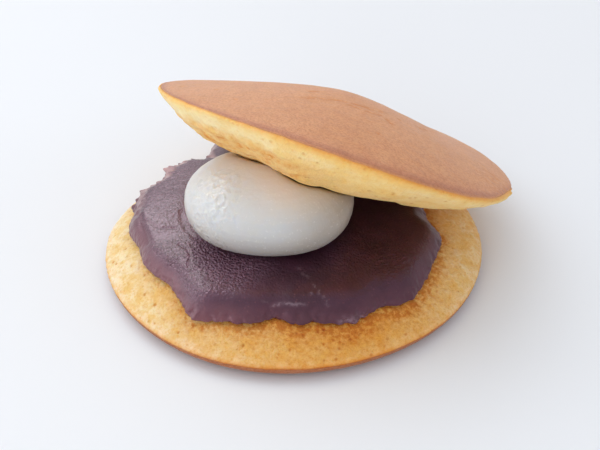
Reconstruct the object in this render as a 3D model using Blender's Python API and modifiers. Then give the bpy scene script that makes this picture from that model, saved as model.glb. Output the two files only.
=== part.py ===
# Mochi dorayaki: a pancake that lies crumb side up, bean paste spread over it, a rice cake on
# the paste, and a second pancake that leans over them with its browned side up.
# Metres, +Z up. The origin is the centre of the bottom pancake's flat resting face, -Y is the
# open front where the filling shows, and the top pancake leans down to the back right.

import math

import bpy
from mathutils import Matrix, Vector, noise

GAP = 0.0003                      # left between pieces that touch
EDGE_ROUNDING = 0.85              # of both crumb sides where they meet the rim, 1 is a sharp rim

# Bottom pancake
BOTTOM_RADIUS = 0.045             # at its widest, the rim
BOTTOM_FLAT_RADIUS = 0.036        # of the flat browned face it rests on
BOTTOM_RIM_HEIGHT = 0.0031        # the rim is where the browned skin ends
BOTTOM_CRUMB_RISE = 0.0088        # from the rim up to the middle of the crumb side
BOTTOM_CRUMB_POWER = 3.9          # flat in the middle, with blunt shoulders
BOTTOM_STEPS = 72
# each lobe is its angle from +X, its half width in degrees, and how far it reaches out
BOTTOM_LOBES = (
    (0, 14, 0.0003),
    (65, 25, -0.0003),
    (-60, 25, -0.0006),
    (-90, 40, -0.0004),
    (-110, 20, 0.0003),
    (150, 16, -0.0016),
    (122, 20, -0.0022),
)
# the back left sags: the angle, the half width in degrees, and how far the edge comes down
BOTTOM_SAG = (138, 38, 0.0016)
CRUMB_LUMP = 0.00035
CRUMB_LUMP_SPAN = 0.013

# Bean paste
PASTE_RADIUS = 0.0366
PASTE_TOP_HEIGHT = 0.0156         # its surface in the middle, above the table
PASTE_FALL = 0.0024               # from the middle to the top of its lip
PASTE_STEPS = 96
PASTE_LOBES = (
    (-179, 9, 0.0026),
    (-157, 7, 0.0009),
    (-141, 3, -0.0006),
    (-124, 9, 0.0034),
    (-107, 6, 0.0007),
    (-97, 6, -0.0018),
    (-83, 5, -0.0010),
    (-70, 6, 0.0008),
    (-58, 3.5, -0.0009),
    (-45, 8, 0.0014),
    (-20, 10, -0.0010),
    (-2, 4, -0.0014),
    (6, 12, -0.0046),
    (45, 24, -0.0057),
    (80, 18, -0.0038),
    (120, 7, 0.0009),
    (132, 4.5, -0.0048),
    (137.6, 1.6, 0.0020),
    (148, 5, 0.0009),
    (154, 2.5, -0.0008),
    (165, 7, 0.0031),
)
PASTE_LUMP = 0.00045
PASTE_LUMP_SPAN = 0.010
# stations from the middle over the lip and back below: share of the radius, share of the height
PASTE_STATIONS = (
    (0, 1), (0.16, 1), (0.32, 1), (0.46, 1), (0.59, 1), (0.70, 1), (0.79, 1), (0.86, 1),
    (0.915, 0.985), (0.95, 0.92), (0.975, 0.76), (0.992, 0.46), (1.0, 0.12),
    (0.985, 0), (0.93, 0), (0.82, 0), (0.66, 0), (0.45, 0), (0.22, 0), (0, 0),
)

PRESS = 0.0004                    # how softly a soft piece flattens against its neighbour

# Rice cake
MOCHI_CENTRE = (-0.0055, -0.0073, 0.0222)
MOCHI_HALF = (0.0195, 0.0160, 0.0098)
MOCHI_YAW = -4
MOCHI_POWER = (2.25, 2.0)         # of the lower and the upper half: 2 is round, more is squarer
MOCHI_SEGMENTS = 44
MOCHI_RINGS = 22

# Top pancake
TOP_CENTRE = (0.01056, 0.01159, 0.02822)   # middle of the plane of its rim
TOP_TILT = 29.56
TOP_LEAN = 55.9                   # the direction it leans down to, from +X
TOP_RADIUS = 0.0436
TOP_SKIN_RISE = 0.0096            # the browned side above the rim
TOP_SKIN_POWER = 1.38
TOP_SKIN_LEAN = (-87, 0.00199)    # a swelling on one side of the browned face
TOP_SKIN_FOLD = (99, 0.00163)     # a long swelling across the browned face
TOP_CRUMB_DEPTH = 0.0095          # the crumb side below the rim
TOP_CRUMB_POWER = 3.6
TOP_NOSE = (0.95, 0.0003)         # from this share of the radius the skin rolls down to the rim
TOP_CRUMB_THIN = (57, 0.147)      # thinner towards this side by this share
TOP_CUP = 0.0020                  # the middle of the crumb side is hollow by this much
TOP_CUP_SHARE = 0.45              # of the radius, out to where the hollow ends
TOP_SADDLE = (53.4, 0.00166)      # two opposite sides of the rim bend up, the others down
TOP_TRIPLE = (19.4, 0.00037)      # three sides of the rim bend up
TOP_OVAL = (45, 0.007)            # the plan is longer along this line by this share
TOP_STEPS = 84
TOP_SKIN_LUMP = 0.00012
TOP_CRUMB_LUMP = 0.0004
TOP_LUMP_SPAN = 0.012
# each lump of the crumb edge is its angle, its half width in degrees, and its depth
TOP_EDGE_LUMPS = (
    (-160, 6, 0.0005),
    (-134, 7, -0.0009),
    (-112, 9, 0.0008),
    (-90, 8, 0.0006),
    (-65, 8, -0.0006),
    (-34, 7, 0.0002),
)
TOP_STATIONS_SKIN = (0, 0.12, 0.24, 0.36, 0.48, 0.60, 0.71, 0.81, 0.89, 0.95, 0.985, 1.0)
TOP_STATIONS_CRUMB = (0.992, 0.968, 0.93, 0.88, 0.81, 0.72, 0.61, 0.48, 0.33, 0.17, 0)


def clear_scene():
    for obj in list(bpy.data.objects):
        bpy.data.objects.remove(obj, do_unlink=True)


def new_collection(name):
    group = bpy.data.collections.new(name)
    bpy.context.scene.collection.children.link(group)
    return group


def new_material(name, colour, roughness):
    mat = bpy.data.materials.new(name)
    mat.use_nodes = True
    shader = mat.node_tree.nodes["Principled BSDF"]
    shader.inputs["Base Color"].default_value = (*colour, 1.0)
    shader.inputs["Roughness"].default_value = roughness
    shader.inputs["Metallic"].default_value = 0.0
    return mat


def lobes_at(angle, lobes):
    # the sum of smooth lobes at an angle in degrees
    total = 0.0
    for centre, half_width, reach in lobes:
        off = (angle - centre + 180) % 360 - 180
        total += reach * math.exp(-((off / half_width) ** 2))
    return total


def lump(point, span, seed):
    return noise.noise(Vector(point) / span + Vector((seed, -seed, seed * 0.5)))


def soft_positive(value, softness):
    # value where it is large, near nothing where it is negative, and smooth between
    if value > 12 * softness:
        return value
    return softness * math.log1p(math.exp(value / softness))


def bottom_edge(angle):
    return BOTTOM_RADIUS + lobes_at(angle, BOTTOM_LOBES)


def sag(x, y):
    # how far the back left of the crumb side and of the paste on it comes down
    angle = math.degrees(math.atan2(y, x))
    share = min(math.hypot(x, y) / BOTTOM_RADIUS, 1.0)
    return lobes_at(angle, (BOTTOM_SAG,)) * share ** 3


def crumb_height(x, y):
    # the crumb side of the bottom pancake
    radius = math.hypot(x, y)
    share = min(radius / bottom_edge(math.degrees(math.atan2(y, x))), 1.0)
    rise = BOTTOM_CRUMB_RISE * (1 - share ** BOTTOM_CRUMB_POWER) ** EDGE_ROUNDING
    bumps = CRUMB_LUMP * lump((x, y, 0), CRUMB_LUMP_SPAN, 3.1) * (1 - share ** 6)
    return BOTTOM_RIM_HEIGHT + rise + bumps - sag(x, y)


def paste_edge(angle):
    return PASTE_RADIUS + lobes_at(angle, PASTE_LOBES)


def paste_height(x, y):
    # the upper surface of the paste, without its lip
    share = math.hypot(x, y) / PASTE_RADIUS
    bumps = PASTE_LUMP * lump((x, y, 0), PASTE_LUMP_SPAN, 7.7)
    return PASTE_TOP_HEIGHT - PASTE_FALL * share * share + bumps - 1.3 * sag(x, y)


def top_frame():
    # the frame of the top pancake's rim: its third axis is the disc's normal
    tilt = math.radians(TOP_TILT)
    lean = math.radians(TOP_LEAN)
    normal = Vector((
        math.sin(tilt) * math.cos(lean),
        math.sin(tilt) * math.sin(lean),
        math.cos(tilt),
    ))
    across = Vector((0, 1, 0)).cross(normal).normalized()
    along = normal.cross(across)
    rotation = Matrix((across, along, normal)).transposed()
    return Matrix.Translation(TOP_CENTRE) @ rotation.to_4x4()


def wave(angle, fold, turns):
    # a swelling that repeats a whole number of times round the disc
    centre, reach = fold
    return reach * math.cos(turns * math.radians(angle - centre))


def top_edge(angle):
    return TOP_RADIUS * (1 + wave(angle, TOP_OVAL, 2))


def top_warp(share, angle):
    return share ** 2 * (wave(angle, TOP_SADDLE, 2) + wave(angle, TOP_TRIPLE, 3))


def nose(share):
    start, drop = TOP_NOSE
    return drop * max(0.0, (share - start) / (1 - start)) ** 2


def lump_on_disc(share, angle, height, seed):
    # low swellings that die out at the rim
    x = share * TOP_RADIUS * math.cos(math.radians(angle))
    y = share * TOP_RADIUS * math.sin(math.radians(angle))
    return height * lump((x, y, 0), TOP_LUMP_SPAN, seed) * (1 - min(share, 1.0) ** 8)


def skin_height(share, angle):
    # the browned side of the top pancake, above the plane of its rim
    rise = TOP_SKIN_RISE * (1 - share ** TOP_SKIN_POWER)
    rise += share * (1 - share ** 2) * wave(angle, TOP_SKIN_LEAN, 1)
    rise += share ** 2 * (1 - share ** 2) * wave(angle, TOP_SKIN_FOLD, 2)
    rise += lump_on_disc(share, angle, TOP_SKIN_LUMP, 1.9)
    return rise - nose(share) + top_warp(share, angle)


def crumb_depth(share, angle):
    # the crumb side of the top pancake, below the plane of its rim
    body = (1 - min(share, 1.0) ** TOP_CRUMB_POWER) ** EDGE_ROUNDING
    rim = TOP_NOSE[1]
    deep = rim + (TOP_CRUMB_DEPTH * (1 - wave(angle, TOP_CRUMB_THIN, 1)) - rim) * body
    deep += lump_on_disc(share, angle, TOP_CRUMB_LUMP, 5.3)
    deep += lobes_at(angle, TOP_EDGE_LUMPS) * min(1.0, 2 * share) ** 2 * min(1.0, 5 * body)
    deep -= TOP_CUP * max(0.0, 1 - (share / TOP_CUP_SHARE) ** 2) ** 2
    return deep - top_warp(share, angle)


def turned(name, profile, steps):
    # a profile of radius and height, from the middle of the top round to the middle below
    mesh = bpy.data.meshes.new(name)
    points = [(radius, 0, height) for radius, height in profile]
    mesh.from_pydata(points, [(i, i + 1) for i in range(len(points) - 1)], [])
    obj = bpy.data.objects.new(name, mesh)
    PIECES.objects.link(obj)
    screw = obj.modifiers.new("Turn", "SCREW")
    screw.axis = "Z"
    screw.angle = math.tau
    screw.steps = steps
    screw.render_steps = steps
    screw.use_merge_vertices = True
    screw.merge_threshold = 0.00001
    bpy.context.view_layer.objects.active = obj
    bpy.ops.object.modifier_apply(modifier=screw.name)
    return obj


def finish(obj, colour, roughness):
    obj.data.update()
    obj.data.shade_smooth()
    obj.data.materials.append(new_material(obj.name, colour, roughness))


def bottom_pancake():
    # the crumb side, then the thin turned-down edge of browned skin and the flat face
    shares = (0, 0.15, 0.30, 0.44, 0.57, 0.68, 0.77, 0.85, 0.91, 0.955, 0.985, 1.0)
    profile = [(share, 1.0) for share in shares]
    skin = ((0.989, 0.66), (0.968, 0.38), (0.938, 0.18), (0.895, 0.06))
    profile += [(share, level) for share, level in skin]
    flat = BOTTOM_FLAT_RADIUS / BOTTOM_RADIUS
    profile += [(flat, 0), (flat * 0.66, 0), (flat * 0.33, 0), (0, 0)]
    obj = turned("bottom_pancake", profile, BOTTOM_STEPS)
    for vertex in obj.data.vertices:
        x, y, level = vertex.co
        angle = math.degrees(math.atan2(y, x))
        edge = bottom_edge(angle)
        radius = math.hypot(x, y) * edge
        x = radius * math.cos(math.radians(angle))
        y = radius * math.sin(math.radians(angle))
        height = crumb_height(x, y) if level > 0.99 else level * BOTTOM_RIM_HEIGHT
        vertex.co = (x, y, height)
    finish(obj, (0.78, 0.47, 0.17), 0.75)


def below_top_pancake(spot, softness):
    # the spot, lowered where it would reach into the pancake that leans over it
    inside = TO_TOP @ spot
    angle = math.degrees(math.atan2(inside.y, inside.x))
    share = math.hypot(inside.x, inside.y) / top_edge(angle)
    if share >= 1:
        return spot
    ceiling = -crumb_depth(share, angle) - GAP
    inside.z = ceiling - soft_positive(ceiling - inside.z, softness)
    return TOP @ inside


def bean_paste():
    obj = turned("bean_paste", PASTE_STATIONS, PASTE_STEPS)
    for vertex in obj.data.vertices:
        x, y, level = vertex.co
        angle = math.degrees(math.atan2(y, x))
        radius = math.hypot(x, y) * paste_edge(angle)
        x = radius * math.cos(math.radians(angle))
        y = radius * math.sin(math.radians(angle))
        floor = crumb_height(x, y) + GAP
        spot = Vector((x, y, floor + level * (paste_height(x, y) - floor)))
        if level > 0:
            spot = below_top_pancake(spot, PRESS)
        vertex.co = spot
    finish(obj, (0.10, 0.055, 0.075), 0.45)


def mochi():
    bpy.ops.mesh.primitive_uv_sphere_add(segments=MOCHI_SEGMENTS, ring_count=MOCHI_RINGS, radius=1)
    obj = bpy.context.active_object
    obj.name = "mochi"
    obj.data.name = "mochi"
    for group in list(obj.users_collection):
        group.objects.unlink(obj)
    PIECES.objects.link(obj)
    turn = Matrix.Rotation(math.radians(MOCHI_YAW), 3, "Z")
    for vertex in obj.data.vertices:
        ray = vertex.co.normalized()
        blend = 0.5 + 0.5 * math.tanh(3 * ray.z)
        power = MOCHI_POWER[0] + (MOCHI_POWER[1] - MOCHI_POWER[0]) * blend
        size = sum(abs(part) ** power for part in ray) ** (-1 / power)
        spot = turn @ Vector([size * part * half for part, half in zip(ray, MOCHI_HALF)])
        spot += Vector(MOCHI_CENTRE)
        # flat where it sits on the paste
        floor = paste_height(spot.x, spot.y) + GAP
        spot.z = floor + soft_positive(spot.z - floor, PRESS)
        vertex.co = below_top_pancake(spot, PRESS)
    finish(obj, (0.62, 0.58, 0.52), 0.35)


def top_pancake():
    profile = [(share, 1.0) for share in TOP_STATIONS_SKIN]
    profile += [(share, 0.0) for share in TOP_STATIONS_CRUMB]
    obj = turned("top_pancake", profile, TOP_STEPS)
    for vertex in obj.data.vertices:
        x, y, level = vertex.co
        angle = math.degrees(math.atan2(y, x))
        share = math.hypot(x, y)
        height = skin_height(share, angle) if level > 0.5 else -crumb_depth(share, angle)
        radius = share * top_edge(angle)
        x = radius * math.cos(math.radians(angle))
        y = radius * math.sin(math.radians(angle))
        vertex.co = TOP @ Vector((x, y, height))
    finish(obj, (0.66, 0.36, 0.20), 0.6)


clear_scene()
PIECES = new_collection("mochi_dorayaki")
TOP = top_frame()
TO_TOP = TOP.inverted()
bottom_pancake()
bean_paste()
mochi()
top_pancake()
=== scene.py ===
import math

import bpy
import numpy as np
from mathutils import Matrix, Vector, kdtree, noise


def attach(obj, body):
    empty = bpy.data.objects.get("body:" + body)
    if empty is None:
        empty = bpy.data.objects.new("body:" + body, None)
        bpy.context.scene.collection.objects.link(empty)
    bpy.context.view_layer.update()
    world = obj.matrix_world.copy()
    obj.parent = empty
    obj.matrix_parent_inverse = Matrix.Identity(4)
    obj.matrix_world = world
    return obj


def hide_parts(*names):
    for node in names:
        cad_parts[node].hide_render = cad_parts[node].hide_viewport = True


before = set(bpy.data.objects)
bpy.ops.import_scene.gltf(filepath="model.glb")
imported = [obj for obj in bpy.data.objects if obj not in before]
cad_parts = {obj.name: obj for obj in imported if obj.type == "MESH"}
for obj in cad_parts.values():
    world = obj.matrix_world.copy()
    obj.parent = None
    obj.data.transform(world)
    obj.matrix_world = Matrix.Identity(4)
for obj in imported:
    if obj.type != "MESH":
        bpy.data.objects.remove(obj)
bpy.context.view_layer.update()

metre = 1000.0                        # arrays of places here are in millimetres
mergeWithin = 0.000001                # metres, for the doubles of a CAD node's triangles
leastChance = 1e-9                    # of a small hole at a vertex
farAway = 50.0                        # millimetres


# Modelling helpers

def chooseOnly(piece):
    # deselects all, then selects this piece and makes it the active one
    for other in list(bpy.context.selected_objects):
        other.select_set(False)
    piece.select_set(True)
    bpy.context.view_layer.objects.active = piece


def mergedCopy(node, name):
    # a new piece from a CAD node's shape, its loose triangles merged
    piece = bpy.data.objects.new(name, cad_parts[node].data.copy())
    piece.data.name = name
    piece.data.materials.clear()
    bpy.context.scene.collection.objects.link(piece)
    chooseOnly(piece)
    bpy.ops.object.mode_set(mode="EDIT")
    bpy.ops.mesh.select_all(action="SELECT")
    bpy.ops.mesh.remove_doubles(threshold=mergeWithin)
    bpy.ops.object.mode_set(mode="OBJECT")
    return piece


def finerNet(piece, look):
    # an even net of small faces to sculpt on, with the flats of the coarse one smoothed away
    chooseOnly(piece)
    net = piece.modifiers.new("evenNet", "REMESH")
    net.mode = "VOXEL"
    net.voxel_size = look["netFace"]
    net.use_smooth_shade = True
    bpy.ops.object.modifier_apply(modifier=net.name)
    ease = piece.modifiers.new("soften", "SMOOTH")
    ease.factor = 0.5
    ease.iterations = look["netPasses"]
    bpy.ops.object.modifier_apply(modifier=ease.name)


def readPlaces(piece):
    flat = np.empty(len(piece.data.vertices) * 3, np.float32)
    piece.data.vertices.foreach_get("co", flat)
    return flat.reshape(-1, 3).astype(float) * metre


def readNormals(piece):
    flat = np.empty(len(piece.data.vertices) * 3, np.float32)
    piece.data.vertices.foreach_get("normal", flat)
    return flat.reshape(-1, 3).astype(float)


def writePlaces(piece, places):
    piece.data.vertices.foreach_set("co", (places / metre).astype(np.float32).ravel())
    piece.data.update()


def keepValues(piece, name, values):
    # one number a vertex, which the piece's material reads by this name
    attribute = piece.data.attributes.new(name, "FLOAT", "POINT")
    attribute.data.foreach_set("value", np.asarray(values, np.float32))


def swells(places, span, seed):
    # soft swellings and hollows, from about -1 to 1
    return np.array([noise.noise(p) for p in (places / span + 7.31 * seed).tolist()])


def waves(places, rows):
    # swellings added up from rows of height, span and seed, in millimetres
    return sum(height * swells(places, span, seed) for height, span, seed in rows)


def cells(places, span, seed):
    # 0 in the middle of each grain, growing to where grains meet
    spots = (places / span + 5.17 * seed).tolist()
    return np.array([noise.voronoi(p)[0][0] for p in spots])


def gapTo(flatPlaces, stroke):
    # how far each place is from the line through the stroke's points
    best = np.full(len(flatPlaces), np.inf)
    for start, end in zip(stroke[:-1], stroke[1:]):
        start, run = np.array(start, float), np.array(end, float) - np.array(start, float)
        share = np.clip((flatPlaces - start) @ run / (run @ run), 0, 1)
        off = flatPlaces - start - share[:, None] * run
        best = np.minimum(best, np.hypot(off[:, 0], off[:, 1]))
    return best


def bell(gap, width):
    # 1 where the gap is 0, falling smoothly over the width
    return np.exp(-((gap / width) ** 2))


def bellAt(value, middle, width):
    # the same about any middle
    return bell(value - middle, width)


def fade(value, start, end):
    # 0 up to the start, 1 from the end on, smooth between; the end may be the lower one
    share = np.clip((value - start) / (end - start), 0, 1)
    return share * share * (3 - 2 * share)


def awayFrom(flatPlaces, middle, reach=1.0):
    # how many reaches each place is from the middle
    offset = (flatPlaces - middle) / reach
    return np.hypot(offset[:, 0], offset[:, 1])


def degreesRound(flatPlaces):
    # each place's direction from the origin
    return np.degrees(np.arctan2(flatPlaces[:, 1], flatPlaces[:, 0]))


def edgeRound(places, sectors):
    # the widest point in each sector round the third axis: angles, radii and heights
    angle = np.arctan2(places[:, 1], places[:, 0])
    radius = np.hypot(places[:, 0], places[:, 1])
    sector = np.round(angle / math.tau * sectors).astype(int) % sectors
    widest = []
    for index in range(sectors):
        mine = np.flatnonzero(sector == index)
        if len(mine):
            widest.append(mine[np.argmax(radius[mine])])
    return angle[widest], radius[widest], places[widest, 2]


def fromEdge(places, edge):
    # how far inside the edge each place is, and how far above it
    angles, radii, heights = edge
    order = np.argsort(angles)
    angle = np.arctan2(places[:, 1], places[:, 0])
    radius = np.hypot(places[:, 0], places[:, 1])
    edgeRadius = np.interp(angle, angles[order], radii[order], period=math.tau)
    edgeHeight = np.interp(angle, angles[order], heights[order], period=math.tau)
    return edgeRadius - radius, places[:, 2] - edgeHeight


def treeOf(spots):
    # for looking up which spots are near a place
    tree = kdtree.KDTree(len(spots))
    for index, spot in enumerate(spots):
        tree.insert(spot, index)
    tree.balance()
    return tree


def pressPits(places, normals, where, look):
    # small round holes pressed into the places; returns how deep in a hole each vertex is
    rng = np.random.default_rng(look["seed"])
    tree = treeOf(places)
    depth = np.zeros(len(places))
    where = where + leastChance
    chosen = rng.choice(len(places), look["count"], p=where / where.sum())
    holes = [(places[spot], rng.uniform(*look["reach"])) for spot in chosen]
    # a placed hole goes to the nearest vertex, but not on a side that has none
    elsewhere = farAway * (where < 1e-3)
    for x, y, reach in look.get("placed", ()):
        nearest = np.argmin(awayFrom(places[:, :2], (x, y)) + elsewhere)
        holes.append((places[nearest], reach))
    for spot, reach in holes:
        for _, index, gap in tree.find_range(spot, reach * 2):
            depth[index] = max(depth[index], reach * math.exp(-((gap / reach) ** 2) * 2))
    places -= normals * (depth * look["depth"])[:, None]
    return depth


# Material helpers

def tint(red, green, blue):
    # a colour as a paint program shows it, for Blender's sockets
    linear = []
    for part in (red, green, blue):
        part = part / 255
        linear.append(part / 12.92 if part <= 0.04045 else ((part + 0.055) / 1.055) ** 2.4)
    return (*linear, 1.0)


class Wire:
    # a socket in a material's tree; a sum or product with it adds a Math node
    def __init__(self, tree, socket=None):
        self.tree = tree
        self.socket = socket

    def grow(self, kind, settings=None, sockets=None, output=0):
        node = self.tree.nodes.new(kind)
        for name, value in (settings or {}).items():
            if name == "stops":
                layStops(node.color_ramp.elements, value)
            else:
                setattr(node, name, value)
        for name, value in (sockets or {}).items():
            if isinstance(value, Wire):
                self.tree.links.new(value.socket, node.inputs[name])
            else:
                node.inputs[name].default_value = value
        return Wire(self.tree, node.outputs[output])

    def reckon(self, operation, first, second):
        return self.grow("ShaderNodeMath", {"operation": operation}, {0: first, 1: second})

    def __add__(self, other):
        return self.reckon("ADD", self, other)

    def __radd__(self, other):
        return self.reckon("ADD", other, self)

    def __sub__(self, other):
        return self.reckon("SUBTRACT", self, other)

    def __rsub__(self, other):
        return self.reckon("SUBTRACT", other, self)

    def __mul__(self, other):
        return self.reckon("MULTIPLY", self, other)

    def __rmul__(self, other):
        return self.reckon("MULTIPLY", other, self)

    def between(self, low, high):
        # 0 below low, 1 above high
        return self.grow(
            "ShaderNodeMapRange",
            {"interpolation_type": "SMOOTHSTEP"},
            {"Value": self, "From Min": low, "From Max": high},
        )


def layStops(elements, stops):
    while len(elements) < len(stops):
        elements.new(0.5)
    for element, (position, colour) in zip(elements, stops):
        element.position = position
        element.color = colour


def newFinish(name):
    # a material with its tree's start and its main shader
    material = bpy.data.materials.new(name)
    material.use_nodes = True
    shader = material.node_tree.nodes["Principled BSDF"]
    return material, Wire(material.node_tree), shader


def setShader(start, shader, values):
    for name, value in values.items():
        if isinstance(value, Wire):
            start.tree.links.new(value.socket, shader.inputs[name])
        else:
            shader.inputs[name].default_value = value


def speck(place, span, seed, detail=2.0, roughness=0.5):
    # noise from 0 to 1 with one swelling a span, in millimetres, moved along for each seed
    away = (seed * 0.013, seed * 0.029, seed * 0.007)
    moved = place.grow("ShaderNodeMapping", {}, {"Vector": place, "Location": away})
    return place.grow(
        "ShaderNodeTexNoise",
        {},
        {"Vector": moved, "Scale": metre / span, "Detail": detail, "Roughness": roughness},
    )


def grain(place, span, feature="F1"):
    # how far from the middle of a grain, or from its edge
    sockets = {"Vector": place, "Scale": metre / span}
    return place.grow("ShaderNodeTexVoronoi", {"feature": feature}, sockets)


def blendColour(factor, first, second, way="MIX"):
    return factor.grow(
        "ShaderNodeMix",
        {"data_type": "RGBA", "blend_type": way, "clamp_factor": True},
        {0: factor, 6: first, 7: second},
        output=2,
    )


def rampOver(value, stops):
    # stops are given at the value's own numbers
    low, high = stops[0][0], stops[-1][0]
    share = (value - low) * (1 / (high - low))
    laid = [((at - low) / (high - low), colour) for at, colour in stops]
    return value.grow("ShaderNodeValToRGB", {"stops": laid}, {0: share})


def attributeOf(start, name):
    return start.grow("ShaderNodeAttribute", {"attribute_name": name}, output=2)


def reliefOf(height):
    # height is in millimetres
    return height.grow("ShaderNodeBump", {}, {"Height": height, "Strength": 1.0, "Distance": 0.001})


# Both pancakes: browned skin on one side, open crumb on the other

def skinOver(start, place, skin, colour, look):
    # broad toasting, small patches and a fine speckle, then thin broken cracks from left to right
    crinkle = attributeOf(start, "crinkle")
    toasting = speck(place, 17, 2).between(0.3, 0.7)
    patches = speck(place, 2.6, 3, 3.0).between(0.35, 0.68)
    fine = speck(place, 0.55, 4, 2.0, 0.6).between(0.32, 0.72)
    colour = blendColour(toasting * skin * 0.35, colour, look["toasted"], "MULTIPLY")
    colour = blendColour(patches * skin * 0.45, colour, look["patch"], "MULTIPLY")
    colour = blendColour(fine * skin * 0.85, colour, look["speckle"], "MULTIPLY")
    drawn = start.grow("ShaderNodeMapping", {}, {"Vector": place, "Scale": look["drawnOut"]})
    cracks = grain(drawn, 1.3, "DISTANCE_TO_EDGE").between(0.26, 0.04)
    cracks = cracks * speck(drawn, 1.6, 10).between(0.38, 0.56) * crinkle * skin
    # painted highlights: lighter patches on the crinkled skin round the cracks, not raised in the
    # relief
    flakeHighlights = speck(drawn, 0.9, 13, 3.0).between(0.50, 0.64)
    colour = blendColour(crinkle * skin * 0.35, colour, look["drift"], "MULTIPLY")
    colour = blendColour(flakeHighlights * crinkle * skin * 0.45, colour, look["flakeHighlight"])
    colour = blendColour(cracks * 0.8, colour, look["crack"])
    return colour, patches * skin, (patches - fine) * skin * 0.05 - cracks * 0.06


def crumbOver(start, place, crumb, warm, colour, look):
    # golden drifts, soft hollows, soaked patches, buttery blotches and small holes
    pit = attributeOf(start, "pit")
    stain = attributeOf(start, "stain")
    drift = speck(place, 9, 5, 2.0).between(0.36, 0.66)
    blotch = speck(place, 2.3, 6, 4.0, 0.7)
    sponge = speck(place, 0.6, 9, 2.0, 0.65)
    shade = crumb * look["hollowShade"] * (0.75 + 0.25 * warm)
    colour = blendColour(drift * crumb * 0.6, colour, look["drift"], "MULTIPLY")
    colour = blendColour(blotch.between(0.60, 0.42) * shade, colour, look["hollow"], "MULTIPLY")
    colour = blendColour(sponge.between(0.50, 0.30) * shade, colour, look["hollow"], "MULTIPLY")
    patch = (blotch * 0.5 + speck(place, 1.0, 8, 3.0, 0.6) * 0.5).between(0.34, 0.64)
    soaked = stain * (0.30 + 1.2 * patch)
    colour = blendColour(soaked, colour, look["stain"], "MULTIPLY")
    colour = blendColour(soaked.between(0.7, 1.5) * 0.6, colour, look["pore"], "MULTIPLY")
    buttery = speck(place, 3.4, 12, 3.0, 0.6).between(0.44, 0.66) * crumb
    colour = blendColour(buttery * look["buttered"], colour, look["butter"], "MULTIPLY")
    holes = grain(place, 1.7).between(0.36, 0.08) * speck(place, 2.4, 11).between(0.44, 0.62) * crumb
    colour = blendColour(holes * (0.25 + 0.6 * warm), colour, look["pore"], "MULTIPLY")
    colour = blendColour((pit * 2.0).between(0.1, 1.0) * 0.85, colour, look["pore"], "MULTIPLY")
    return colour, crumb * (sponge * 0.26 + blotch * 0.45 - holes * 0.10)


def pancakeFinish(name, look):
    material, start, shader = newFinish(name)
    place = start.grow("ShaderNodeTexCoord", output="Object")
    fromRim = attributeOf(start, "fromRim")
    warm = attributeOf(start, "warm")
    wrinkle = attributeOf(start, "wrinkle")

    wander = speck(place, look["borderWander"], 1)
    along = fromRim + (wander - 0.5) * look["borderRagged"]
    skin = along.between(look["skinStart"] - 0.1, look["skinStart"] + 0.4)
    crumb = 1 - skin
    colour = blendColour(warm * crumb, rampOver(along, look["bands"]), look["golden"], "MULTIPLY")
    colour, patches, skinHeight = skinOver(start, place, skin, colour, look)
    colour, crumbHeight = crumbOver(start, place, crumb, warm, colour, look)
    colour = blendColour(wrinkle, colour, look["crack"])

    setShader(start, shader, {
        "Base Color": colour,
        "Roughness": skin * look["skinRoughness"] + crumb * look["crumbRoughness"] - patches * 0.05,
        "Normal": reliefOf(crumbHeight + skinHeight - wrinkle * 0.05),
        "Subsurface Weight": look["glow"],
        "Subsurface Radius": (1.0, 0.45, 0.18),
        "Subsurface Scale": 0.0022,
        "Specular IOR Level": 0.42,
        "Sheen Weight": 0.06,
        "Sheen Roughness": 0.5,
    })
    return material


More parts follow.
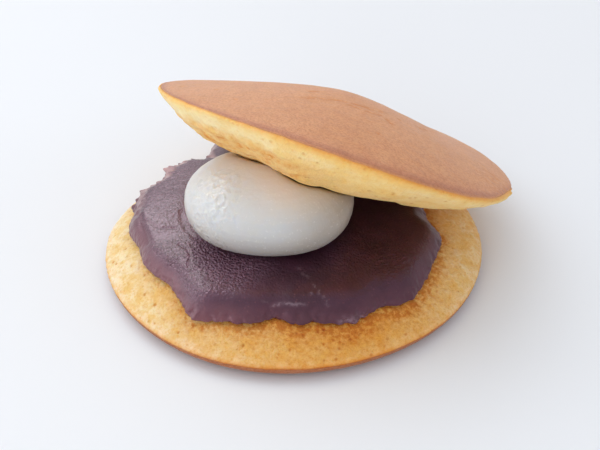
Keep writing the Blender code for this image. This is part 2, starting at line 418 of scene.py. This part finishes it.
bottomLook = {
    "edgeSectors": 72,
    "netFace": 0.000405,
    "netPasses": 4,
    "crumbSwells": ((0.16, 7.0, 1), (0.09, 2.2, 2), (0.055, 1.0, 3)),   # height, span, seed
    "borderWander": 4.0,
    "borderRagged": 0.5,
    "skinStart": 0.5,
    "regions": {                      # middle and reach round the disc, in degrees
        "front": (-73, 46),
        "frontLeft": (-134, 26),
        "back": (40, 70),
        "side": (32, 34),
        "brownRim": (-95, 55),
    },
    "backWithin": (46, 37),           # from the middle: soaked not at all here, and fully up to here
    "soaks": (                        # region, strength, and reach from the paste in millimetres
        ("all", 0.45, 1.4),
        ("front", 0.80, 1.4),
        ("front", 0.68, 6.0),
        ("back", 1.20, 2.4),
        ("frontLeft", 0.25, 2.2),
    ),
    "dampFront": 0.10,                # all over the front
    "brownedRim": (0.9, 2.2),         # how much browner, and over what way from the rim
    "goldens": (("front", 0.97), ("side", 0.75), ("frontLeft", 0.16)),
    # colours by the way from the rim in millimetres: crumb is below 0, skin well above
    "bands": (
        (-12.0, tint(244, 227, 190)),
        (-3.0, tint(244, 227, 191)),
        (-0.9, tint(244, 227, 200)),
        (-0.1, tint(238, 204, 160)),
        (0.5, tint(204, 138, 88)),
        (1.2, tint(176, 112, 72)),
        (3.0, tint(176, 112, 76)),
        (7.0, tint(192, 128, 86)),
    ),
    "golden": tint(249, 217, 156),
    "buttered": 0.7,
    "butter": tint(252, 237, 196),
    "toasted": tint(228, 214, 200),
    "patch": tint(232, 216, 200),
    "speckle": tint(226, 204, 184),
    "drift": tint(254, 244, 218),
    "hollowShade": 0.9,
    "hollow": tint(245, 228, 186),
    "pore": tint(224, 180, 112),
    "stain": tint(220, 179, 124),
    "crack": tint(180, 96, 44),
    # painted highlights on the flaky skin round the cracks
    "flakeHighlight": tint(214, 152, 104),
    "drawnOut": (0.42, 1.0, 1.0),     # cracks and the painted highlights on the flaky skin are longer from left to right
    "skinRoughness": 0.55,
    "crumbRoughness": 0.86,
    "glow": 0.30,
    "pits": {
        "seed": 5, "count": 60, "reach": (0.30, 0.62), "depth": 0.50,
        "placed": (
            (-41.6, -9.4, 0.55), (-34.0, -22.3, 0.60), (-25.7, -33.9, 0.55), (-11.3, -39.4, 0.60),
            (-12.6, -40.0, 0.45), (6.6, -42.6, 0.50), (5.5, -36.7, 0.55), (12.6, -37.8, 0.60),
            (-37.6, -12.6, 0.50), (-31.5, -25.6, 0.65), (15.0, -36.4, 0.45),
        ),
    },
}


def makeBottomPancake(look, pasteEdge):
    piece = mergedCopy("bottom_pancake", "bottomPancake")
    edge = edgeRound(readPlaces(piece), look["edgeSectors"])
    finerNet(piece, look)
    places, normals = readPlaces(piece), readNormals(piece)
    inside, above = fromEdge(places, edge)
    distance = np.hypot(np.maximum(inside, 0), above)
    fromRim = np.where(above < 0, distance, -distance)
    crumb = fade(-fromRim, 0.2, 2.0)
    places += normals * (crumb * waves(places, look["crumbSwells"]))[:, None]

    # the crumb is soaked round the paste's edge, most in front and at the back
    tree = treeOf([(x, y, 0) for x, y in pasteEdge])
    gap = np.array([tree.find((x, y, 0))[2] for x, y, _ in places.tolist()])
    angle = degreesRound(places)
    region = {name: bellAt(angle, *spot) for name, spot in look["regions"].items()}
    region["all"] = np.ones(len(places))
    region["back"] *= fade(awayFrom(places[:, :2], (0, 0)), *look["backWithin"])
    soak = look["dampFront"] * region["front"]
    for name, strength, reach in look["soaks"]:
        soak += strength * region[name] * np.exp(-gap / reach)
    golden = sum(strength * region[name] for name, strength in look["goldens"])

    top = fade(normals[:, 2], 0.0, 0.6) * crumb
    pit = pressPits(places, normals, top * (0.25 + np.exp(-gap / 4)), look["pits"])
    writePlaces(piece, places)
    browner, reach = look["brownedRim"]
    keepValues(piece, "fromRim", fromRim + browner * region["brownRim"] * bell(fromRim, reach))
    keepValues(piece, "pit", pit)
    keepValues(piece, "stain", np.clip(soak, 0, 1) * crumb)
    keepValues(piece, "warm", np.clip(golden, 0, 1))
    keepValues(piece, "crinkle", np.zeros(len(places)))
    keepValues(piece, "wrinkle", np.zeros(len(places)))
    piece.data.materials.append(pancakeFinish("goldenCrumb", look))
    return piece


# Bean paste

pasteLook = {
    "edgeSectors": 96,
    "netFace": 0.00033,
    "netPasses": 3,
    "lipWidth": (4.2, 7.5),           # millimetres from the edge to the full height: back, front
    "lipPower": 2.2,
    "lipSectors": 48,
    "easing": 45,                     # rounds of smoothing on the slopes
    "corner": ((-23.0, -30.0), 5.5),  # where the outline turns, rounded more: middle, reach
    "widerCorner": ((-24.0, -27.5), 7.0),
    "spreadSwells": ((0.10, 4.0, 11), (0.05, 1.6, 12)),     # height, span, seed
    "beads": 0.13,                    # grains standing out where the paste is coarse
    "beadSpan": 0.8,
    "coarseZone": ((-20.0, -18.0), (18.0, 12.5)),   # middle, and reach across and in depth
    "smoothZone": ((-28.5, -9.5), (5.0, 2.5)),
    "fineZone": ((20.0, -18.0), (10.0, 9.0)),
    "folds": (                        # half width, depth and points of what the spatula left
        (0.65, 0.34, ((-37.2, 1.5), (-36.4, -0.5), (-35.6, -4.0), (-33.8, -10.4))),
        (0.30, 0.20, ((-36.0, 0.0), (-35.2, -2.6), (-33.5, -4.2), (-31.0, -6.8), (-27.4, -7.3))),
        (0.30, 0.18, ((-26.2, -13.4), (-24.2, -15.6), (-23.4, -18.0), (-23.8, -21.3))),
        (0.45, 0.12, ((-26.3, -1.4), (-25.9, -4.7), (-24.6, -9.0), (-22.6, -11.6), (-21.1, -13.5))),
    ),
    "step": (
        (-29.0, -22.5), (-26.3, -25.4), (-22.0, -29.0), (-17.3, -30.9), (-10.6, -31.9),
        (-0.7, -32.7), (8.1, -33.6), (13.0, -33.2), (17.6, -31.6),
    ),
    "stepAbout": (-4.0, -8.0),        # the middle that the step runs round
    "stepRise": 0.07,
    "scratch": ((2.2, -24.2), (4.8, -28.6), (7.9, -33.2)),
    "flap": ((10.5, -35.2), (13.6, -34.4), (16.8, -33.0)),
    "pimples": ((1.3, -22.8), (4.0, -30.5), (5.7, -30.5), (-9.5, -22.5)),
    "tornAt": (145, 26),              # middle and reach round the edge, in degrees
    "toothedAt": (-88, 50),
    "frays": ((0.22, 1.7, 18), (0.17, 0.8, 19)),            # height, span, seed
    "teeth": ((0.95, 1.6, 23), (0.35, 0.9, 24)),
    "broadLobes": ((1.1, 2.6, 20),),
    "smallLobes": ((0.6, 1.2, 22),),
    "spikes": 2.6,
    "paste": tint(45, 16, 30),
    "mauve": tint(82, 42, 60),
    "lip": tint(124, 72, 72),
    # painted sheen: a lighter mauve for the coarse patch in front of the rice cake
    "coarseSheen": tint(108, 75, 90),
    "torn": tint(208, 174, 170),
    # painted shade for the dips between the beads
    "deep": tint(58, 20, 28),
    "groove": tint(88, 38, 48),
    "glint": tint(206, 180, 190),
    "roughness": 0.40,
}


def makeBeanPaste(look):
    piece = mergedCopy("bean_paste", "beanPaste")
    edge = edgeRound(readPlaces(piece), look["edgeSectors"])
    finerNet(piece, look)
    places = slopedLip(readPlaces(piece), readNormals(piece), edge, look)
    writePlaces(piece, places)
    inside, _ = fromEdge(places, edge)
    corner = 0.8 * bell(awayFrom(places[:, :2], *look["corner"]), 1.0)
    places = easeRidges(piece, places, np.maximum(fade(inside, 0.3, 2.4), corner), look["easing"])
    corner = bell(awayFrom(places[:, :2], *look["widerCorner"]), 1.0)
    places = easeRidges(piece, places, corner * fade(inside, 0.0, 1.5), 2 * look["easing"])
    writePlaces(piece, places)
    normals = readNormals(piece)
    inside, _ = fromEdge(places, edge)
    flat = places[:, :2]

    # coarse, beady paste in front of the rice cake on the left, and a finer patch at the right
    coarse = fade(awayFrom(flat, *look["coarseZone"]), 1.15, 0.6) + 0.40 * fade(flat[:, 0], -18, -26)
    coarse *= 1 - bell(awayFrom(flat, *look["smoothZone"]), 1.0)
    fine = 0.9 * bell(awayFrom(flat, *look["fineZone"]), 1.0) + 0.15
    coarse = np.clip(coarse, 0, 1) * fade(inside, 1.4, 3.2)
    fine = np.clip(fine, 0, 1) * fade(inside, 1.8, 3.6)
    beads = look["beads"] * (0.5 - cells(places, look["beadSpan"], 13))
    push = waves(places, look["spreadSwells"]) + beads * np.clip(coarse + 0.5 * fine, 0, 1)
    folded, furrow = spatulaFolds(places, look)
    stepped, bright = steppedSpread(places, look)
    push += folded + stepped
    places += normals * (push * fade(normals[:, 2], -0.1, 0.35))[:, None]

    angle = degreesRound(flat)
    ragged = bellAt(angle, *look["tornAt"])
    toothed = bellAt(angle, *look["toothedAt"])
    outward = np.zeros_like(places)
    outward[:, :2] = flat / awayFrom(flat, (0, 0))[:, None].clip(1)
    places += outward * tornEdge(places, inside, ragged, toothed, look)[:, None]
    writePlaces(piece, places)
    keepValues(piece, "inside", inside)
    keepValues(piece, "coarse", coarse)
    keepValues(piece, "ragged", ragged * fade(inside, 3.8, 2.2) * fade(inside, 0.6, 1.6))
    keepValues(piece, "lit", fade(flat[:, 0], -2, -22) * (1 - 0.45 * fade(flat[:, 1], -4, 8)))
    keepValues(piece, "fineGrain", fine)
    keepValues(piece, "furrow", furrow)
    keepValues(piece, "crest", bright)
    piece.data.materials.append(pasteFinish(look))
    return piece, edge


def spatulaFolds(places, look):
    # folds and grooves with a low bank beside each; returns the push and where they lie
    flat = places[:, :2]
    push = np.zeros(len(places))
    furrow = np.zeros(len(places))
    for width, depth, points in look["folds"]:
        line = bell(gapTo(flat + 0.25 * swells(places, 2.5, 14)[:, None], points), width)
        push -= depth * line
        push += 0.15 * depth * bell(gapTo(flat, points) - 2.4 * width, width)
        furrow = np.maximum(furrow, line * min(1.0, depth / 0.4))
    return push, furrow


def steppedSpread(places, look):
    # the spread ends in a step with a thinner lip below it; returns the push and what glints
    flat = places[:, :2]
    stepGap = gapTo(flat + 0.4 * swells(places, 3.0, 15)[:, None], look["step"])
    fromMiddle = flat - look["stepAbout"]
    stepRadius = np.interp(
        np.arctan2(fromMiddle[:, 1], fromMiddle[:, 0]),
        *strokeRound(look["step"], np.array(look["stepAbout"])),
    )
    beyond = awayFrom(flat, look["stepAbout"]) - stepRadius
    push = look["stepRise"] * bell(stepGap, 2.2) * (fade(-beyond, -0.5, 0.6) - fade(beyond, -0.2, 1.2))

    crest = bell(stepGap, 0.28) * fade(flat[:, 0], -8, -5) * fade(flat[:, 0], 3.5, 1)
    crest *= fade(swells(places, 1.4, 16), -0.5, 0.1)
    scratch = bell(gapTo(flat + 0.3 * swells(places, 1.2, 16)[:, None], look["scratch"]), 0.26)
    scratch *= fade(swells(places, 0.9, 17), -0.25, 0.2)
    push += 0.04 * crest + 0.09 * scratch
    bright = np.maximum(0.5 * scratch, 0.45 * bell(gapTo(flat, look["flap"]), 0.55))
    for spot in look["pimples"]:
        bump = bell(awayFrom(flat, spot), 0.36)
        push += 0.18 * bump
        bright = np.maximum(bright, 0.4 * bump)
    return push, np.clip(crest * 0.6 + bright, 0, 1)


def tornEdge(places, inside, ragged, toothed, look):
    # how far the thin edge is pulled out: a little all round, in small teeth, in torn lobes
    upright = places * (1, 1, 0.4)
    tear = waves(places, look["frays"]) + toothed * waves(upright, look["teeth"])
    lobes = waves(places * (1, 1, 0.2), look["broadLobes"]) + waves(upright, look["smallLobes"])
    lobes += look["spikes"] * np.maximum(swells(upright, 1.15, 25), 0) ** 1.5
    return tear * fade(inside, 2.2, 0.2) + ragged * lobes * fade(inside, 5.5, 2.0)


def slopedLip(places, normals, edge, look):
    # the paste thins out to its edge in a rounded slope instead of a wall
    inside, _ = fromEdge(places, edge)
    angle = np.arctan2(places[:, 1], places[:, 0])
    front = fade(np.cos(angle + math.radians(65)), -0.15, 0.45)
    backWidth, frontWidth = look["lipWidth"]
    width = backWidth + (frontWidth - backWidth) * front
    shoulder = (inside > width) & (inside < width + 0.8) & (normals[:, 2] > 0.5)
    sectors = look["lipSectors"]
    sector = np.round(angle / math.tau * sectors).astype(int) % sectors
    heights = [np.median(places[shoulder & (sector == index), 2]) for index in range(sectors)]
    topHeight = np.interp(angle, np.arange(sectors) * math.tau / sectors, heights, period=math.tau)
    angles, _, edgeHeights = edge
    order = np.argsort(angles)
    lowHeight = np.interp(angle, angles[order], edgeHeights[order], period=math.tau)
    share = np.clip(inside / width, 0, 1)
    limit = lowHeight + (topHeight - lowHeight) * (1 - (1 - share) ** look["lipPower"])
    over = np.where(inside < width, places[:, 2] - limit, 0)
    soft = 0.10                       # millimetres over which the limit sets in
    places = places.copy()
    lowered = soft * np.log1p(np.exp(np.clip(over / soft, -30, 60)))
    places[:, 2] -= lowered * (inside < width) * fade(width - inside, 0, 1.2)
    return places


def easeRidges(piece, places, weight, passes):
    # each place moves towards the middle of its neighbours, fully where weight is 1
    ends = np.empty(len(piece.data.edges) * 2, np.int32)
    piece.data.edges.foreach_get("vertices", ends)
    one, other = ends[::2], ends[1::2]
    total = len(places)
    count = np.bincount(one, minlength=total) + np.bincount(other, minlength=total)
    for _ in range(passes):
        around = np.stack([
            np.bincount(one, places[other, axis], total) + np.bincount(other, places[one, axis], total)
            for axis in range(3)
        ], axis=1) / count[:, None]
        places = places + 0.5 * weight[:, None] * (around - places)
    return places


def strokeRound(stroke, middle):
    # a stroke's points as angles, in rising order, and radii about a middle point
    points = np.array(stroke, float) - middle
    angles = np.arctan2(points[:, 1], points[:, 0])
    order = np.argsort(angles)
    return angles[order], np.hypot(points[:, 0], points[:, 1])[order]


def pasteFinish(look):
    material, start, shader = newFinish("sweetBeanPaste")
    place = start.grow("ShaderNodeTexCoord", output="Object")
    inside = attributeOf(start, "inside")
    coarse = attributeOf(start, "coarse")
    fineGrain = attributeOf(start, "fineGrain")
    furrow = attributeOf(start, "furrow")
    crest = attributeOf(start, "crest")
    ragged = attributeOf(start, "ragged")
    lit = attributeOf(start, "lit")

    drift = speck(place, 6, 21, 3.0).between(0.35, 0.68)
    colour = blendColour(drift * (0.34 + 0.16 * lit), look["paste"], look["mauve"])
    colour = blendColour(lit * 0.55, colour, look["mauve"])
    thin = (inside + (speck(place, 1.6, 22) - 0.5) * 1.6).between(4.0, 0.0)
    colour = blendColour(thin * (0.26 + 0.4 * lit), colour, look["lip"])
    # painted sheen: the coarse patch in front of the rice cake is painted lighter mauve, standing in
    # for reflected light
    colour = blendColour(coarse * 0.55, colour, look["coarseSheen"])
    colour = blendColour(ragged * 0.7, colour, look["torn"])
    bits = grain(place, 0.9).between(0.28, 0.10) * speck(place, 3, 23).between(0.4, 0.6)
    colour = blendColour(bits * 0.35, colour, look["lip"])
    colour = blendColour(furrow * 0.65, colour, look["groove"])
    broken = speck(place, 0.7, 26, 2.0).between(0.40, 0.58)
    colour = blendColour(crest * (0.12 + 0.3 * broken), colour, look["glint"])

    beads = speck(place, 0.62, 24, 1.0, 0.5) - grain(place, 0.66) * 0.45
    # painted shade: the dips between the beads are darkened towards the deep colour
    shadedValleys = beads.between(0.30, 0.05) * (coarse * 0.4 + fineGrain * 0.6)
    colour = blendColour(shadedValleys, colour, look["deep"])
    skinGrain = speck(place, 0.42, 25, 2.0)
    height = beads * (0.03 + 0.50 * coarse + 0.34 * fineGrain) + skinGrain * (0.035 + 0.07 * lit)
    setShader(start, shader, {
        "Base Color": colour,
        "Roughness": look["roughness"] - crest * 0.12 + furrow * 0.2 - coarse * 0.04 - lit * 0.10,
        "Normal": reliefOf(height),
        "Specular IOR Level": 0.85,
        "Specular Tint": tint(255, 216, 242),
        "Subsurface Weight": 0.22,
        "Subsurface Radius": (1.0, 0.35, 0.35),
        "Subsurface Scale": 0.0012,
        "Coat Weight": 0.05 + lit * 0.50,
        "Coat Roughness": 0.28,
    })
    return material


# Rice cake

mochiLook = {
    "netFace": 0.00024,
    "netPasses": 6,
    "bodySwells": ((0.10, 7.0, 31), (0.035, 2.6, 32)),      # height, span, seed
    "creasedZone": ((-17.5, -14.0), (5.5, 7.0)),    # middle, and reach across and in depth
    "creases": (0.15, 0.07),          # heights of the long ones and of the fine ones
    "body": tint(211, 213, 215),
    "shade": tint(213, 210, 205),
    # painted shade low down and on the right, and painted warm bounce light on the top
    "dim": tint(168, 155, 142),
    "crown": tint(232, 222, 211),
    # painted highlights: small near-white specks over the rice cake
    "fleckHighlight": tint(248, 246, 242),
    "roughness": 0.42,
}


def makeRiceCake(look):
    piece = mergedCopy("mochi", "riceCake")
    finerNet(piece, look)
    places, normals = readPlaces(piece), readNormals(piece)
    push = waves(places, look["bodySwells"])
    # little stretched creases on the upper left
    creased = bell(awayFrom(places[:, :2], *look["creasedZone"]), 1.0)
    ridged = 1 - np.abs(swells(places * (1.0, 1.0, 1.6), 2.1, 33)) * 3.2
    finer = 1 - np.abs(swells(places * (1.3, 1.0, 1.3), 1.2, 34)) * 3.2
    high, low = look["creases"]
    push += creased * (high * np.clip(ridged, -0.6, 1) + low * np.clip(finer, -0.6, 1))
    places += normals * push[:, None]
    writePlaces(piece, places)

    # painted shade: dimmer low down and to the right; and painted warm bounce light from the pancake
    # above on the top
    x, y, height = places.T
    low = fade(height, height.min() + 13, height.min() + 3)
    crown = fade(height, height.max() - 6.5, height.max() - 0.5)
    keepValues(piece, "creased", creased)
    keepValues(piece, "crown", crown * fade(x + 0.5 * y, -21, -9))
    keepValues(piece, "dim", np.clip(0.85 * low + 0.8 * fade(x, -6, 14), 0, 1))
    piece.data.materials.append(mochiFinish(look))
    return piece


def mochiFinish(look):
    material, start, shader = newFinish("steamedRiceCake")
    place = start.grow("ShaderNodeTexCoord", output="Object")
    creased = attributeOf(start, "creased")
    cloud = speck(place, 8, 41, 2.0).between(0.3, 0.7)
    colour = blendColour(cloud * 0.6, look["body"], look["shade"])
    # painted shade low down and on the right, then painted warm bounce light from the pancake above on
    # the top
    colour = blendColour(attributeOf(start, "dim") * 0.8, colour, look["dim"])
    colour = blendColour(attributeOf(start, "crown") * 0.7, colour, look["crown"])
    # painted highlights: small near-white specks all over, also raised a little in the relief
    glintSpecks = speck(place, 0.6, 42, 2.0)
    colour = blendColour(glintSpecks.between(0.6, 0.75) * 0.25, colour, look["fleckHighlight"])
    wet = speck(place, 3.4, 43, 2.0).between(0.42, 0.62)
    height = glintSpecks * 0.03 + speck(place, 1.2, 44, 2.0) * (0.05 + 0.26 * creased)
    setShader(start, shader, {
        "Base Color": colour,
        "Roughness": look["roughness"] - wet * 0.10 - creased * 0.16,
        "Normal": reliefOf(height),
        "Subsurface Weight": 1.0,
        "Subsurface Radius": (1.0, 0.82, 0.62),
        "Subsurface Scale": 0.0030,
        "Specular IOR Level": 0.5,
        "Coat Weight": 0.08 + creased * 0.75,
        "Coat Roughness": 0.26,
    })
    return material


# Top pancake, which leans over the filling

topLook = {
    "edgeSectors": 84,
    "netFace": 0.00044,
    "netPasses": 4,
    "centre": (10.56, 11.59, 28.22),  # middle of the plane of its rim, in millimetres
    "tilt": 29.56,                    # degrees from level
    "lean": 55.9,                     # the way it tilts, in degrees round the upright
    "skinSwells": ((0.030, 1.3, 51), (0.07, 6.0, 52)),      # height, span, seed
    "sideSwells": ((0.06, 2.0, 53),),
    "lumps": ((0.32, 5.5, 54), (0.16, 2.6, 55)),
    "scallops": ((0.38, 2.2, 60),),
    "tipSwells": ((0.09, 1.1, 58),),
    "tipCrumb": ((0.5, 1.9, 61),),
    "wrinkleDepth": 0.13,
    "wrinkleWidth": 0.36,
    "crinkleWidth": 2.4,
    "pinholeDepth": 0.22,
    "pinholeWidth": 0.5,
    "wrinkles": (                     # strokes on the disc, in millimetres from its middle
        ((-11.8, -13.8), (-9.4, -12.6), (-7.0, -12.6), (-4.5, -11.8), (-2.2, -11.9)),
        ((-9.8, -7.0), (-7.7, -6.6)),
        ((-1.5, -13.7), (-0.1, -14.3), (1.6, -15.1), (3.5, -14.7), (5.7, -14.0)),
        ((-1.3, -12.2), (0.9, -11.4), (3.5, -11.8), (6.5, -10.4)),
        ((7.2, -15.6), (8.2, -17.0)),
        ((17.4, -6.6), (19.6, -4.4)),
    ),
    "crinkled": ((3.0, -18.0, 8.0), (17.0, -13.0, 8.0), (-8.0, -14.0, 7.0)),   # place, reach
    "tip": (38.0, -15.0),             # the coarser tip at the right
    "tipReach": 9.0,
    "dent": (-12.1, -32.0, -6.8),     # in the side in front
    "borderStart": 0.8,               # millimetres up from the rim
    "borderShows": (-82, 62),         # where the dark border shows, in degrees round the disc
    "browned": (2, 17),               # and the skin reaches further down the side here
    "pinholes": ((-38.3, 0.0), (-27.7, -17.3), (11.3, -9.8), (22.4, 0.5), (-31.0, -6.0), (3.5, -27.0)),
    "borderWander": 5.0,
    "borderRagged": 0.7,
    "skinStart": 0.9,
    "bands": (
        (-12.0, tint(249, 219, 158)),
        (-6.0, tint(251, 224, 165)),
        (-2.8, tint(252, 232, 186)),
        (-1.4, tint(251, 225, 168)),
        (-0.2, tint(246, 203, 132)),
        (0.6, tint(238, 180, 106)),
        (1.2, tint(220, 152, 94)),
        (1.9, tint(198, 132, 98)),
        (2.8, tint(206, 140, 104)),
        (4.2, tint(222, 159, 115)),
        (8.0, tint(228, 165, 116)),
    ),
    "golden": tint(250, 235, 202),
    "buttered": 0.4,
    "butter": tint(252, 236, 190),
    "toasted": tint(236, 226, 214),
    "patch": tint(236, 220, 206),
    "speckle": tint(230, 208, 188),
    "drift": tint(254, 248, 226),
    "hollowShade": 0.30,
    "hollow": tint(246, 228, 190),
    "pore": tint(226, 184, 130),
    "stain": tint(238, 190, 122),
    "crack": tint(206, 128, 64),
    # painted highlights on the flaky skin round the cracks
    "flakeHighlight": tint(236, 180, 134),
    "drawnOut": (0.42, 1.0, 1.0),
    "skinRoughness": 0.50,
    "crumbRoughness": 0.86,
    "glow": 0.30,
    "pits": {"seed": 9, "count": 34, "reach": (0.25, 0.5), "depth": 0.6},
}


def discFrame(look):
    # the rim's frame: its third axis stands out of the browned side
    tilt, lean = math.radians(look["tilt"]), math.radians(look["lean"])
    normal = Vector((math.sin(tilt) * math.cos(lean), math.sin(tilt) * math.sin(lean), math.cos(tilt)))
    across = Vector((0, 1, 0)).cross(normal).normalized()
    return np.array((across, normal.cross(across), normal)).T, np.array(look["centre"])


def makeTopPancake(look):
    piece = mergedCopy("top_pancake", "topPancake")
    axes, centre = discFrame(look)
    edge = edgeRound((readPlaces(piece) - centre) @ axes, look["edgeSectors"])
    finerNet(piece, look)
    places, normals = readPlaces(piece), readNormals(piece)
    local = (places - centre) @ axes
    flat = local[:, :2]
    inside, above = fromEdge(local, edge)
    facing = normals @ axes[:, 2]
    distance = np.hypot(np.maximum(inside, 0), above)
    fromRim = np.where((above > 0) | (facing > 0.5), distance, -distance)
    skin = fade(fromRim, 0.0, 1.0)
    deep = fade(-fromRim, 1.5, 6.0)

    push = skin * waves(places, look["skinSwells"]) + deep * waves(places, look["lumps"])
    push += (1 - skin) * fade(-fromRim, 0.3, 2) * waves(places, look["sideSwells"])
    wrinkle, crinkle = wrinkles(places, flat, skin, look)
    push -= look["wrinkleDepth"] * wrinkle
    for spot in look["pinholes"]:
        hole = bell(awayFrom(flat, spot), look["pinholeWidth"]) * skin
        push -= look["pinholeDepth"] * hole
        wrinkle = np.maximum(wrinkle, 0.55 * hole)
    tip = bell(awayFrom(flat, look["tip"]), look["tipReach"])
    push += tip * (waves(places, look["tipSwells"]) + (1 - skin) * waves(places, look["tipCrumb"]))
    # scalloped lumps low on the left, and a dent in the side in front
    left = fade(local[:, 0], -2.0, -20.0)
    push += left * fade(-fromRim, 2.5, 6.0) * waves(places, look["scallops"])
    dent = np.linalg.norm(local - look["dent"], axis=1)
    push -= 0.55 * bell(dent, 1.1) - 0.20 * bell(dent - 2.0, 0.7)
    places += normals * push[:, None]

    pit = pressPits(places, normals, (1 - skin) * (0.15 + deep), look["pits"])
    # toasted spots along the lower edge at the left, few on the pale right
    under = fade(-facing, 0.2, 0.8) * fade(-fromRim, 4.0, 7.0)
    toast = left * fade(-fromRim, 3.5, 8.0) * fade(swells(places, 2.8, 59), -1.0, 0.6) * 0.7
    toast += 0.1 * under + 0.15 * bell(dent, 0.9)
    writePlaces(piece, places)
    angle = degreesRound(flat)
    fromRim = fromRim - 0.5 * tip + 1.8 * bellAt(angle, *look["browned"])
    borderMiddle, borderReach = look["borderShows"]
    hidden = 1 - np.exp(-(((angle - borderMiddle) / borderReach) ** 4))
    # the border's colours lie past its start, and are passed quickly where it is hidden
    borderStart = look["borderStart"]
    past = (fromRim - borderStart) * (1 + 2.0 * hidden)
    keepValues(piece, "fromRim", np.where(past > 0, borderStart + past, fromRim))
    keepValues(piece, "crinkle", np.clip(crinkle + tip, 0, 1))
    keepValues(piece, "pit", pit)
    keepValues(piece, "stain", np.clip(toast, 0, 1))
    keepValues(piece, "warm", fade(local[:, 0], -38, -6) * 0.75 * (1 - 0.7 * tip))
    keepValues(piece, "wrinkle", np.clip(wrinkle, 0, 1))
    piece.data.materials.append(pancakeFinish("brownedSkin", look))
    return piece


def wrinkles(places, flat, skin, look):
    # broken lines in the skin, and the crinkled skin round them
    wrinkle = np.zeros(len(places))
    crinkle = np.zeros(len(places))
    bent = flat + 0.35 * swells(places, 1.8, 56)[:, None]
    for stroke in look["wrinkles"]:
        gap = gapTo(bent, stroke)
        wrinkle = np.maximum(wrinkle, bell(gap, look["wrinkleWidth"]))
        crinkle = np.maximum(crinkle, bell(gap, look["crinkleWidth"]))
    for x, y, reach in look["crinkled"]:
        crinkle = np.maximum(crinkle, 0.4 * bell(awayFrom(flat, (x, y)), reach))
    return wrinkle * skin * fade(swells(places, 1.5, 57), -0.6, -0.1), crinkle


# Studio

studio = {
    "tableSize": 4.0,
    "tableHeight": -0.0002,
    "worldBright": (1.10, 1.11, 1.13, 1.0),
    "worldDim": (0.65, 0.67, 0.71, 1.0),
    "worldFrom": (-0.50, 0.72, 0.48),  # the brighter side of the room
    "worldStrength": 0.67,
    "lamps": (
        # name, place, width and height, power, tone, lights matt surfaces, shows in glossy ones
        ("leftSoftbox", (-0.42, 0.30, 0.45), (0.45, 0.45), 0.4, "plain", True, True),
        ("leftCard", (-0.60, 0.02, 0.30), (0.50, 0.50), 0.7, "plain", True, True),
        ("overheadKey", (-0.35, 0.42, 0.85), (0.80, 0.80), 1.9, "plain", True, False),
        ("sheenPanel", (-0.26, 1.05, 0.88), (0.90, 0.70), 6.6, "plain", False, True),
        ("frontFill", (-0.12, -0.80, 0.20), (0.70, 0.34), 1.6, "cool", True, False),
        ("frontLeftFill", (-0.50, -0.68, 0.72), (0.90, 0.90), 1.6, "cool", True, False),
        ("rightFill", (0.62, -0.22, 0.34), (0.60, 0.50), 0.4, "plain", True, False),
        ("window", (-0.52, 0.42, 0.80), (0.15, 0.20), 0.9, "plain", False, True),
    ),
    "tones": {"plain": (1.0, 1.0, 1.0), "cool": (0.88, 0.94, 1.0)},
    "floor": tint(236, 238, 242),
    "cameraPlace": (0.0, -0.3123, 0.2527),
    "cameraAim": (0.00166, 0.00447, 0.00553),
    "lens": 100.02,
    "sensorWidth": 36,
}


def setStudio(look):
    bpy.ops.mesh.primitive_plane_add(size=look["tableSize"], location=(0, 0, look["tableHeight"]))
    table = bpy.context.active_object
    table.name = "paleTable"
    material, start, shader = newFinish("paleTableTop")
    place = start.grow("ShaderNodeTexCoord", output="Object")
    shade = speck(place, 60, 61)
    setShader(start, shader, {
        "Base Color": look["floor"],
        "Roughness": 0.55 + 0.1 * shade,
        "Specular IOR Level": 0.3,
    })
    table.data.materials.append(material)

    world = bpy.data.worlds.new("softRoom")
    bpy.context.scene.world = world
    world.use_nodes = True
    sky = world.node_tree.nodes["Background"]
    start = Wire(world.node_tree)
    way = start.grow("ShaderNodeTexCoord", output="Generated")
    towards = {0: way, 1: look["worldFrom"]}
    side = start.grow("ShaderNodeVectorMath", {"operation": "DOT_PRODUCT"}, towards, output="Value")
    room = blendColour(side.between(-0.9, 0.9), look["worldDim"], look["worldBright"])
    setShader(start, sky, {"Color": room, "Strength": look["worldStrength"]})
    hangLamps(look)
    placeCamera(look)
    bpy.context.scene.view_settings.view_transform = "Standard"


def hangLamps(look):
    for name, place, size, power, tone, matt, glossy in look["lamps"]:
        bulb = bpy.data.lights.new(name, "AREA")
        bulb.shape = "RECTANGLE"
        bulb.size, bulb.size_y = size
        bulb.energy = power
        bulb.color = look["tones"][tone]
        lamp = bpy.data.objects.new(name, bulb)
        lamp.location = place
        lamp.visible_diffuse, lamp.visible_glossy = matt, glossy
        lamp.rotation_euler = (-Vector(place)).to_track_quat("-Z", "Y").to_euler()
        bpy.context.scene.collection.objects.link(lamp)


def placeCamera(look):
    lens = bpy.data.cameras.new("camera")
    lens.sensor_width = look["sensorWidth"]
    lens.lens = look["lens"]
    camera = bpy.data.objects.new("camera", lens)
    camera.location = look["cameraPlace"]
    aim = Vector(look["cameraAim"]) - Vector(look["cameraPlace"])
    camera.rotation_euler = aim.to_track_quat("-Z", "Y").to_euler()
    bpy.context.scene.collection.objects.link(camera)
    bpy.context.scene.camera = camera


print("bean paste")
beanPaste, (edgeAngles, edgeRadii, _) = makeBeanPaste(pasteLook)
print("bottom pancake")
pasteEdge = np.stack([edgeRadii * np.cos(edgeAngles), edgeRadii * np.sin(edgeAngles)], axis=1)
bottomPancake = makeBottomPancake(bottomLook, pasteEdge)
print("rice cake")
riceCake = makeRiceCake(mochiLook)
print("top pancake")
topPancake = makeTopPancake(topLook)

for piece, node in (
    (bottomPancake, "bottom_pancake"),
    (beanPaste, "bean_paste"),
    (riceCake, "mochi"),
    (topPancake, "top_pancake"),
):
    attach(piece, "root")
    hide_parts(node)
    print(piece.name, len(piece.data.polygons), "faces")

print("studio")
setStudio(studio)
